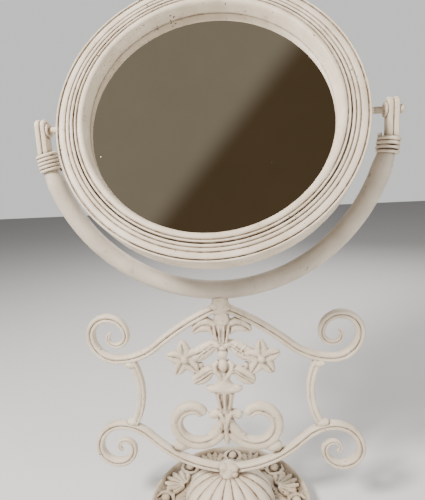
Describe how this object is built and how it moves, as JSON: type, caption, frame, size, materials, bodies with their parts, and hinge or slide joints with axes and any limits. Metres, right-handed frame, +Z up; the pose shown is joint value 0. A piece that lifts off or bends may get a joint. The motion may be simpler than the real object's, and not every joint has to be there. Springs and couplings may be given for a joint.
{
  "type": "countertop mirror",
  "caption": "Round vanity mirror that tilts in a tube yoke, on a scrolled iron panel with a floral ornament and a round cast base; distressed cream paint",
  "frame": {"origin": "centre of the face the base stands on", "axes": "+Z up, -Y is the front that the mirror faces, X along the pivot axis"},
  "size_m": [0.3146, 0.16, 0.5071],
  "materials": {
    "cream_paint": "worn satin paint over iron",
    "tube_paint": "smooth satin paint over steel tube",
    "cast_iron_painted": "cream paint with brown patina in the recesses",
    "plain_steel": "dull zinc",
    "mirror_silver": "silvered glass, slightly aged",
    "board": "grey-brown fibre board",
    "felt": "dark felt"
  },
  "bodies": {
    "stand": {"base_dish": "cast_iron_painted", "c_scroll_left": "cream_paint", "c_scroll_right": "cream_paint", "centre_boss": "cream_paint", "felt_ring": "felt", "floral_ornament": "cast_iron_painted", "gadrooned_dome": "cast_iron_painted", "inner_lug_left": "cream_paint", "inner_lug_right": "cream_paint", "lower_scroll_left": "cream_paint", "lower_scroll_right": "cream_paint", "outer_lug_left": "cream_paint", "outer_lug_right": "cream_paint", "peak_block": "cream_paint", "side_strut_left": "cream_paint", "side_strut_right": "cream_paint", "tie_nut": "plain_steel", "tie_rod": "plain_steel", "tie_washer": "plain_steel", "upper_scroll_left": "cream_paint", "upper_scroll_right": "cream_paint", "wire_wrap_left": "cream_paint", "wire_wrap_right": "cream_paint", "yoke_tube": "tube_paint"},
    "head": {"back_cover": "cream_paint", "backing_board": "board", "bezel_ring": "cream_paint", "carrier_ring": "cream_paint", "cover_screws": "plain_steel", "frame_hoop": "cream_paint", "mirror_glass": "mirror_silver", "outer_moulding": "cream_paint", "pivot_stud_left": "cream_paint", "pivot_stud_right": "cream_paint", "pivot_washer_left": "cream_paint", "pivot_washer_right": "cream_paint"}
  },
  "joints": [
    {"name": "head_tilt", "type": "hinge", "parent": "stand", "child": "head", "pos_m": [0, 0, 0.38429], "axis": [1, 0, 0], "continuous": true}
  ]
}
